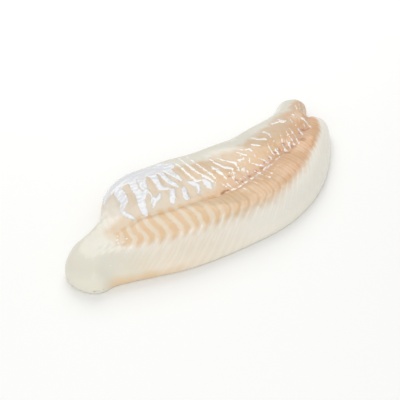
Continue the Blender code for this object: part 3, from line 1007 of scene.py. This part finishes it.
    def seam_colours(self, at: Ground, tracing: Tracing) -> dict[Layer, np.ndarray]:
        """Shares of amber, blood, rose and blush along the seam."""
        thin = self.amber_thin[0] * self.amber_thin[1].at(tracing.most(self.strokes.thin_amber))
        broad = self.amber_broad[0] * self.amber_broad[1].at(tracing.most(self.strokes.broad_amber))
        amber = np.maximum(thin, broad) * (self.amber_middle + self.amber_wander.at(at.x, at.y))
        rosy = tracing.most(self.strokes.rosy_spots) + self.rosy_wander.at(at.x, at.y)
        blush = self.blush_patch.at(at.s, at.t) * self.blush_ridge.at(at.t)
        blush = blush * (self.blush_middle + self.blush_wander.at(at.x, at.y))
        return {Layer.AMBER: amber, Layer.BLOOD: self.blood_edge.at(tracing.most(self.strokes.blood_spots)),
                Layer.ROSY: self.rosy_edge.at(rosy), Layer.BLUSH: blush}

    def depth(self, at: Ground) -> np.ndarray:
        """Share of the deeper tan, towards the tail and along the tan's edge."""
        deep = self.deep_tail.at(at.s, at.t)
        deep = deep + self.deep_by_edge.at(at.s, at.t) * self.deep_ridge.at(at.past_tan_edge)
        return deep * (1 - self.deep_belly_loss.at(at.s, at.t))

    def painted_bounce_light(self, at: Ground) -> np.ndarray:
        """Share of painted warm bounce light low on the flesh by its foot, most by the head end."""
        height = at.t + self.foot_painted_bounce_light_wander.at(at.x, at.y)
        painted_bounce_light = self.foot_painted_bounce_light.at(at.s, at.t) * self.foot_painted_bounce_light_height.at(height)
        painted_bounce_light = np.maximum(painted_bounce_light, self.flank_painted_bounce_light.at(at.s, at.t))
        patches = self.behind_painted_bounce_light_middle + sum(wander.at(at.x, at.y) for wander in self.behind_painted_bounce_light_wander)
        return np.maximum(painted_bounce_light, patches * self.behind_painted_bounce_light.at(at.s, at.t))

    def layers(self, points: np.ndarray, s: np.ndarray, t: np.ndarray) -> dict[Layer, np.ndarray]:
        """Work out what the finish reads.

        Args:
            points: Points of the smooth surface.
            s: Grid places from head to tail.
            t: Grid places from loin to belly.

        Returns:
            One array for each layer.
        """
        at, tracing = self.ground(points, s, t), Tracing(self.view, points)
        film = self.film(at, tracing)
        back = t - eased(s, self.back_edge) + self.back_wander.at(at.x, at.y)
        shares = {
            Layer.TAN: self.tan(at), Layer.WALL: self.walls(at), Layer.LINES: self.fine_lines(at),
            Layer.VEIL: self.veil(at, film), Layer.BACK: self.back_fade.at(back),
            Layer.NOSE: self.nose_fade.at(s + self.nose_wander.at(at.x, at.y)),
            Layer.DEPTH: self.depth(at), Layer.PAINTED_BOUNCE_LIGHT: self.painted_bounce_light(at), **self.seam_colours(at, tracing),
        }
        layers = {layer: np.clip(share, 0.0, 1.0) for layer, share in shares.items()}
        layers[Layer.GRAIN] = np.stack([at.count, t, np.zeros_like(t)], -1)
        layers[Layer.FILM] = film
        layers[Layer.STREAK_AND_GLINT] = self.streaks(at, tracing)
        return layers

    def relief(self, layers: dict[Layer, np.ndarray], s: np.ndarray, t: np.ndarray) -> np.ndarray:
        """Height that flakes, film and streaks add to the smooth surface.

        Args:
            layers: What layers() gave.
            s: Grid places from head to tail.
            t: Grid places from loin to belly.

        Returns:
            Heights along the surface's normal, in metres.
        """
        count = layers[Layer.GRAIN][..., 0]
        crest = -np.cos(2 * math.pi * count) / 2
        inside = self.film_rise.at(layers[Layer.FILM])
        flakes = self.flake_relief_mm * crest * eased(t, self.relief_lines) * self.relief_ends.at(s, t)
        flakes = flakes * (1 - self.relief_tail_loss.at(s, t)) * (1 - self.relief_film_loss * inside)
        film = self.film_height_mm * inside * (1 + self.film_crumple.at(s, t))
        streaks = self.streak_height_mm * self.streak_rise.at(layers[Layer.STREAK_AND_GLINT])
        cut = (self.amber_cut_mm * layers[Layer.AMBER] + self.blood_cut_mm * layers[Layer.BLOOD]
               + self.rosy_cut_mm * layers[Layer.ROSY])
        return (flakes + film + streaks - cut) * self.relief_rim.at(s, t) * MM


def from_hex(code: str) -> tuple[float, float, float, float]:
    """Turn an sRGB hex colour into the linear one that shaders use.

    Args:
        code: Six hex digits.

    Returns:
        Linear red, green, blue and a full alpha.
    """
    shares = [int(code[i:i + 2], 16) / 255 for i in (0, 2, 4)]
    linear = [c / 12.92 if c <= 0.04045 else ((c + 0.055) / 1.055) ** 2.4 for c in shares]
    return linear[0], linear[1], linear[2], 1.0


def add_node(tree: bpy.types.NodeTree, kind: str, settings: dict | None = None,
             links: dict | None = None) -> bpy.types.Node:
    """Add one node to a material.

    Args:
        tree: The material's node tree.
        kind: The node's type name.
        settings: Values by property name, or by input name or number.
        links: Output sockets by the input's name or number.

    Returns:
        The new node.
    """
    node = tree.nodes.new(kind)
    for name, value in (settings or {}).items():
        if isinstance(name, str) and hasattr(node, name):
            setattr(node, name, value)
        else:
            node.inputs[name].default_value = value
    for name, socket in (links or {}).items():
        tree.links.new(socket, node.inputs[name])
    return node


@dataclass(frozen=True)
class MoistCodFlesh:
    """Raw cod flesh: skinned with a knife, salted and soaked, wet on the surface.

    The flesh is white and slightly see-through, tan where blood has faded in it, with pale
    connective walls between the flakes and torn pearly lining film on the belly half.
    """

    white: str = "ECE7DB"
    tan: str = "D1AC79"
    deep_tan: str = "CC955A"
    wall: str = "D9CAB2"
    line: str = "F4F1E9"
    film: str = "DFDFE1"
    # Whitish streaks, partly painted highlight, and specks that are painted glints.
    streak_and_glint: str = "E9E4DD"
    veil: str = "CDC1AD"
    blush: str = "D0AA8C"
    rosy: str = "BC865E"
    back: str = "D8D4C5"
    amber: str = "CB9453"
    blood: str = "9E5A33"
    glassy: str = "E0DCCD"
    # Colour of the painted warm bounce light at the foot.
    painted_bounce_light: str = "DFBE92"
    subsurface: float = 0.2
    subsurface_reach: float = 0.004
    coat: float = 0.35
    coat_roughness: float = 0.12
    subsurface_colours: tuple[float, float, float] = (1.0, 0.62, 0.40)
    refraction: float = 1.38
    flank_roughness: float = 0.46
    flake_roughness: float = 0.32
    wet_roughness: float = 0.16
    fray_mm: float = 1.1
    cloud_mm: float = 16.0
    noise_detail: float = 3.0
    fibre_stretch: tuple[float, float, float] = (1.4, 150.0, 1.0)
    film_fray_mm: float = 1.2
    film_edge_mm: float = 0.25
    streak_fray_mm: float = 0.8
    streak_edge_mm: float = 0.35
    cloud_range: tuple[float, float] = (0.3, 0.7)
    palest_tan: float = 0.85
    underside_mm: tuple[float, float] = (0.4, 1.4)
    fray_bump: float = 0.4
    bump_strength: float = 0.25
    bump_mm: float = 0.3

    def read(self, tree: bpy.types.NodeTree, layer: Layer, output: str = "Fac") -> bpy.types.NodeSocket:
        """Read one of the mesh's layers.

        Args:
            tree: The material's node tree.
            layer: Which layer.
            output: The output socket's name.

        Returns:
            The socket that gives it.
        """
        return add_node(tree, "ShaderNodeAttribute", {"attribute_name": layer.value}).outputs[output]

    def blend(self, tree: bpy.types.NodeTree, under: bpy.types.NodeSocket, over: str | bpy.types.NodeSocket,
              share: bpy.types.NodeSocket) -> bpy.types.NodeSocket:
        """Lay one colour over another.

        Args:
            tree: The material's node tree.
            under: The colour below.
            over: The colour laid over it, as a hex code or a socket.
            share: How much of it shows.

        Returns:
            The blended colour.
        """
        mix = add_node(tree, "ShaderNodeMix", {"data_type": "RGBA"}, {0: share, 6: under})
        if isinstance(over, str):
            mix.inputs[7].default_value = from_hex(over)
        else:
            tree.links.new(over, mix.inputs[7])
        return mix.outputs[2]

    def masked(self, tree: bpy.types.NodeTree, layer: Layer, noise: bpy.types.NodeSocket, amount: float,
               edge: float) -> bpy.types.NodeSocket:
        """Turn a signed distance layer into a mask with a ragged edge.

        Args:
            tree: The material's node tree.
            layer: The layer, in millimetres.
            noise: Noise from 0 to 1 that frays the edge.
            amount: How far the noise moves the edge, in millimetres.
            edge: Half the width of the soft edge, in millimetres.

        Returns:
            The mask.
        """
        frayed = add_node(tree, "ShaderNodeMath", {"operation": "MULTIPLY_ADD", 1: amount},
                          {0: noise, 2: self.read(tree, layer)})
        limits = {"From Min": amount / 2 - edge, "From Max": amount / 2 + edge}
        return add_node(tree, "ShaderNodeMapRange", {"interpolation_type": "SMOOTHSTEP", **limits},
                        {"Value": frayed.outputs[0]}).outputs[0]

    def material(self) -> bpy.types.Material:
        """Build the node material."""
        material = bpy.data.materials.new("moist_raw_cod_flesh")
        material.use_nodes = True
        tree = material.node_tree
        shader = tree.nodes["Principled BSDF"]
        place = add_node(tree, "ShaderNodeTexCoord").outputs["Object"]
        fray, cloud = (add_node(tree, "ShaderNodeTexNoise",
                                {"Scale": 1 / (cell * MM), "Detail": self.noise_detail}, {"Vector": place})
                       for cell in (self.fray_mm, self.cloud_mm))
        # Muscle fibres run from one flake wall to the next, so the noise is stretched along the grain.
        stretch = add_node(tree, "ShaderNodeMapping", {"Scale": self.fibre_stretch},
                           {"Vector": self.read(tree, Layer.GRAIN, "Vector")})
        fibre = add_node(tree, "ShaderNodeTexNoise", {"Scale": 1.0, "Detail": self.noise_detail},
                         {"Vector": stretch.outputs[0]})

        film = self.masked(tree, Layer.FILM, fray.outputs[0], self.film_fray_mm, self.film_edge_mm)
        # Mask of the whitish streaks and strands, partly painted highlight, and of the painted glints.
        streak_and_glint = self.masked(tree, Layer.STREAK_AND_GLINT, fray.outputs[0], self.streak_fray_mm, self.streak_edge_mm)

        tans = {"data_type": "RGBA", 6: from_hex(self.tan), 7: from_hex(self.deep_tan)}
        warm = add_node(tree, "ShaderNodeMix", tans, {0: self.read(tree, Layer.DEPTH)})
        low, high = self.cloud_range
        cloudy = {"From Min": low, "From Max": high, "To Min": self.palest_tan, "To Max": 1.0}
        uneven = add_node(tree, "ShaderNodeMapRange", cloudy, {"Value": cloud.outputs[0]})
        tan = add_node(tree, "ShaderNodeMath", {"operation": "MULTIPLY"},
                       {0: self.read(tree, Layer.TAN), 1: uneven.outputs[0]})
        base = add_node(tree, "ShaderNodeMix", {"data_type": "RGBA", 6: from_hex(self.white)},
                        {0: tan.outputs[0], 7: warm.outputs[2]}).outputs[2]
        # One of these layers is painted warm bounce light at the foot, not a colour of the flesh.
        for layer, colour in ((Layer.WALL, self.wall), (Layer.NOSE, self.glassy), (Layer.VEIL, self.veil),
                              (Layer.BLUSH, self.blush), (Layer.ROSY, self.rosy), (Layer.BACK, self.back),
                              (Layer.LINES, self.line), (Layer.PAINTED_BOUNCE_LIGHT, self.painted_bounce_light), (Layer.AMBER, self.amber),
                              (Layer.BLOOD, self.blood)):
            base = self.blend(tree, base, colour, self.read(tree, layer))
        base = self.blend(tree, base, self.film, film)
        base = self.blend(tree, base, self.streak_and_glint, streak_and_glint)
        # The underside is plain cut flesh.
        height = add_node(tree, "ShaderNodeSeparateXYZ", links={"Vector": place}).outputs["Z"]
        low, high = self.underside_mm
        fade = {"From Min": low * MM, "From Max": high * MM, "To Min": 1.0, "To Max": 0.0}
        below = add_node(tree, "ShaderNodeMapRange", fade, {"Value": height}).outputs[0]
        base = self.blend(tree, base, self.back, below)
        tree.links.new(base, shader.inputs["Base Color"])

        # Wet all over, wettest on the film and the streaks, dullest on the cut flank.
        flank = add_node(tree, "ShaderNodeMapRange",
                         {"To Min": self.flank_roughness, "To Max": self.flake_roughness},
                         {"Value": self.read(tree, Layer.TAN)})
        glossy = add_node(tree, "ShaderNodeMath", {"operation": "MAXIMUM"}, {0: film, 1: streak_and_glint})
        rough = add_node(tree, "ShaderNodeMix", {"data_type": "FLOAT", 3: self.wet_roughness},
                         {0: glossy.outputs[0], 2: flank.outputs[0]})
        tree.links.new(rough.outputs[0], shader.inputs["Roughness"])

        weave = add_node(tree, "ShaderNodeMath", {"operation": "MULTIPLY_ADD", 1: self.fray_bump},
                         {0: fray.outputs[0], 2: fibre.outputs[0]})
        bump = add_node(tree, "ShaderNodeBump",
                        {"Strength": self.bump_strength, "Distance": self.bump_mm * MM},
                        {"Height": weave.outputs[0]})
        tree.links.new(bump.outputs[0], shader.inputs["Normal"])

        shader.inputs["IOR"].default_value = self.refraction
        shader.inputs["Subsurface Weight"].default_value = self.subsurface
        shader.inputs["Subsurface Radius"].default_value = self.subsurface_colours
        shader.inputs["Subsurface Scale"].default_value = self.subsurface_reach
        shader.inputs["Coat Weight"].default_value = self.coat
        shader.inputs["Coat Roughness"].default_value = self.coat_roughness
        return material


@dataclass
class CodFillet:
    """The side of cod itself: one closed piece with its relief, layers and finish."""

    form: FilletForm
    pattern: FleshPattern
    finish: MoistCodFlesh
    cells_along: int = 540
    cells_across: int = 168
    across_spent: Line = ((0.0, 0.0), (0.21, 0.20), (0.45, 0.50), (0.90, 0.90), (1.0, 1.0))
    foot_rings: tuple[tuple[float, float, float], ...] = ((0.9965, 0.993, -0.0018),
                                                          (0.9930, 0.985, -0.0012))
    shortest_edge_mm: float = 0.02

    def places(self) -> tuple[np.ndarray, np.ndarray]:
        """Grid places of the mesh lines, along and across."""
        along = np.linspace(0.0, 1.0, self.cells_along + 1)
        share, place = np.array(self.across_spent).T
        return along, np.interp(np.linspace(0.0, 1.0, self.cells_across + 1), share, place)

    def build(self) -> bpy.types.Object:
        """Model the piece.

        Returns:
            The finished object, at the origin.
        """
        along, across = self.places()
        u, t = np.broadcast_arrays(along[:, None], across[None, :])
        s = self.form.zigzag(u, t)
        smooth_points = self.form.surface(s, t)
        layers = self.pattern.layers(smooth_points, s, t)
        normals = np.cross(np.gradient(smooth_points, axis=0), np.gradient(smooth_points, axis=1))
        normals /= np.maximum(np.linalg.norm(normals, axis=-1, keepdims=True), 1e-12)
        points = smooth_points + normals * self.pattern.relief(layers, s, t)[..., None]
        for edge in (points[0], points[-1], points[:, 0], points[:, -1]):
            edge[:, 2] = self.form.foot_height
        low, high = (np.array(corner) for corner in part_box(NODE))
        points = np.clip(points, low, high)

        bpy.ops.object.select_all(action="DESELECT")
        bpy.ops.mesh.primitive_grid_add(x_subdivisions=self.cells_along,
                                        y_subdivisions=self.cells_across, size=1.0)
        fillet = bpy.context.object
        fillet.name = fillet.data.name = "cod_flesh"
        mesh = fillet.data
        flat = np.empty(len(mesh.vertices) * 3)
        mesh.vertices.foreach_get("co", flat)
        flat = flat.reshape(-1, 3)
        i = np.rint((flat[:, 0] + 0.5) * self.cells_along).astype(int)
        j = np.rint((flat[:, 1] + 0.5) * self.cells_across).astype(int)
        mesh.vertices.foreach_set("co", points[i, j].ravel())
        for layer, values in layers.items():
            kind = "FLOAT_VECTOR" if values.ndim == 3 else "FLOAT"
            slot = mesh.attributes.new(layer.value, kind, "POINT")
            slot.data.foreach_set("vector" if values.ndim == 3 else "value", values[i, j].ravel())
        self.close_foot()
        mesh.shade_smooth()
        mesh.materials.clear()
        mesh.materials.append(self.finish.material())
        return fillet

    def close_foot(self) -> None:
        """Tuck the foot in under the rim and close the flat underside."""
        rim = {"extend": False, "use_wire": False, "use_boundary": True, "use_multi_face": False,
               "use_non_contiguous": False, "use_verts": False}
        bpy.ops.object.mode_set(mode="EDIT")
        bpy.ops.mesh.select_mode(type="EDGE")
        bpy.ops.mesh.select_all(action="DESELECT")
        bpy.ops.mesh.select_non_manifold(**rim)
        for wide, deep, drop in self.foot_rings:
            bpy.ops.mesh.extrude_edges_move(TRANSFORM_OT_translate={"value": (0.0, 0.0, drop)})
            bpy.ops.transform.resize(value=(wide, deep, 1.0), center_override=(0.0, 0.0, 0.0))
        bpy.ops.mesh.select_all(action="SELECT")
        bpy.ops.mesh.dissolve_degenerate(threshold=self.shortest_edge_mm * MM)
        bpy.ops.mesh.select_all(action="DESELECT")
        bpy.ops.mesh.select_non_manifold(**rim)
        bpy.ops.mesh.edge_face_add()
        bpy.ops.mesh.select_all(action="SELECT")
        bpy.ops.mesh.normals_make_consistent(inside=False)
        bpy.ops.object.mode_set(mode="OBJECT")

    def place(self) -> bpy.types.Object:
        """Build the piece and tell the frame what it stands for."""
        fillet = self.build()
        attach(fillet, BODY)
        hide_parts(NODE)
        LOG.info("%s: %d faces", fillet.name, len(fillet.data.polygons))
        return fillet


@dataclass
class Studio:
    """Plain pale floor, soft lights and the photograph's camera."""

    view: PhotoView
    floor_size: float = 6.0
    floor_colour: str = "FAFAF8"
    floor_roughness: float = 0.8
    back_light: tuple[tuple[float, float, float], float, float] = ((0.55, 0.75, 1.00), 1.0, 7.5)
    front_light: tuple[tuple[float, float, float], float, float] = ((-1.05, -0.75, 0.65), 1.2, 6.5)
    fill_strength: float = 0.66
    nearest_seen: float = 0.01

    def floor(self) -> bpy.types.Object:
        """Lay the floor under the piece."""
        bpy.ops.object.select_all(action="DESELECT")
        bpy.ops.mesh.primitive_plane_add(size=self.floor_size, location=(0.0, 0.0, 0.0))
        floor = bpy.context.object
        floor.name = "studio_floor"
        # Matt painted board: an even pale surface with no grain that would draw the eye.
        paint = bpy.data.materials.new("matt_white_paint")
        paint.use_nodes = True
        shader = paint.node_tree.nodes["Principled BSDF"]
        shader.inputs["Base Color"].default_value = from_hex(self.floor_colour)
        shader.inputs["Roughness"].default_value = self.floor_roughness
        floor.data.materials.append(paint)
        return floor

    def softbox(self, name: str, place: tuple[float, float, float], size: float, power: float) -> None:
        """Hang one soft light that faces the piece.

        Args:
            name: The light's name.
            place: Where it hangs.
            size: Length of its side.
            power: Its power in watts.
        """
        light = bpy.data.lights.new(name, "AREA")
        light.shape = "SQUARE"
        light.size = size
        light.energy = power
        lamp = bpy.data.objects.new(name, light)
        x, y, z = place
        lamp.location = place
        lamp.rotation_euler = (math.atan2(math.hypot(x, y), z), 0.0, math.atan2(x, -y))
        bpy.context.scene.collection.objects.link(lamp)

    def lights(self) -> None:
        """Light the piece from behind and above, with a wide soft fill from the front."""
        self.softbox("back_softbox", *self.back_light)
        self.softbox("front_softbox", *self.front_light)
        world = bpy.data.worlds.new("pale_studio")
        world.use_nodes = True
        sky = world.node_tree.nodes["Background"]
        sky.inputs["Color"].default_value = (1.0, 1.0, 1.0, 1.0)
        sky.inputs["Strength"].default_value = self.fill_strength
        bpy.context.scene.world = world

    def camera(self) -> None:
        """Set up the camera where the photograph was taken from."""
        data = bpy.data.cameras.new("photo_camera")
        data.sensor_width = self.view.sensor_mm
        data.lens = self.view.lens_mm
        data.clip_start = self.nearest_seen
        camera = bpy.data.objects.new("photo_camera", data)
        camera.location = self.view.eye
        turn = -math.atan2(*self.view.heading)
        camera.rotation_euler = (math.radians(90 - self.view.pitch_degrees), 0.0, turn)
        bpy.context.scene.collection.objects.link(camera)
        bpy.context.scene.camera = camera
        bpy.context.scene.view_settings.view_transform = "Standard"

    def build(self) -> None:
        """Set up the floor, the lights and the camera."""
        self.floor()
        self.lights()
        self.camera()
        LOG.info("studio: floor, lights and camera")


def main() -> None:
    """Build the side of cod in its studio."""
    logging.basicConfig(level=logging.INFO, format="%(name)s: %(message)s")
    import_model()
    view, form = PhotoView(), FilletForm()
    Studio(view).build()
    CodFillet(form, FleshPattern(form, view, TracedStrokes()), MoistCodFlesh()).place()


if __name__ == "__main__":
    main()
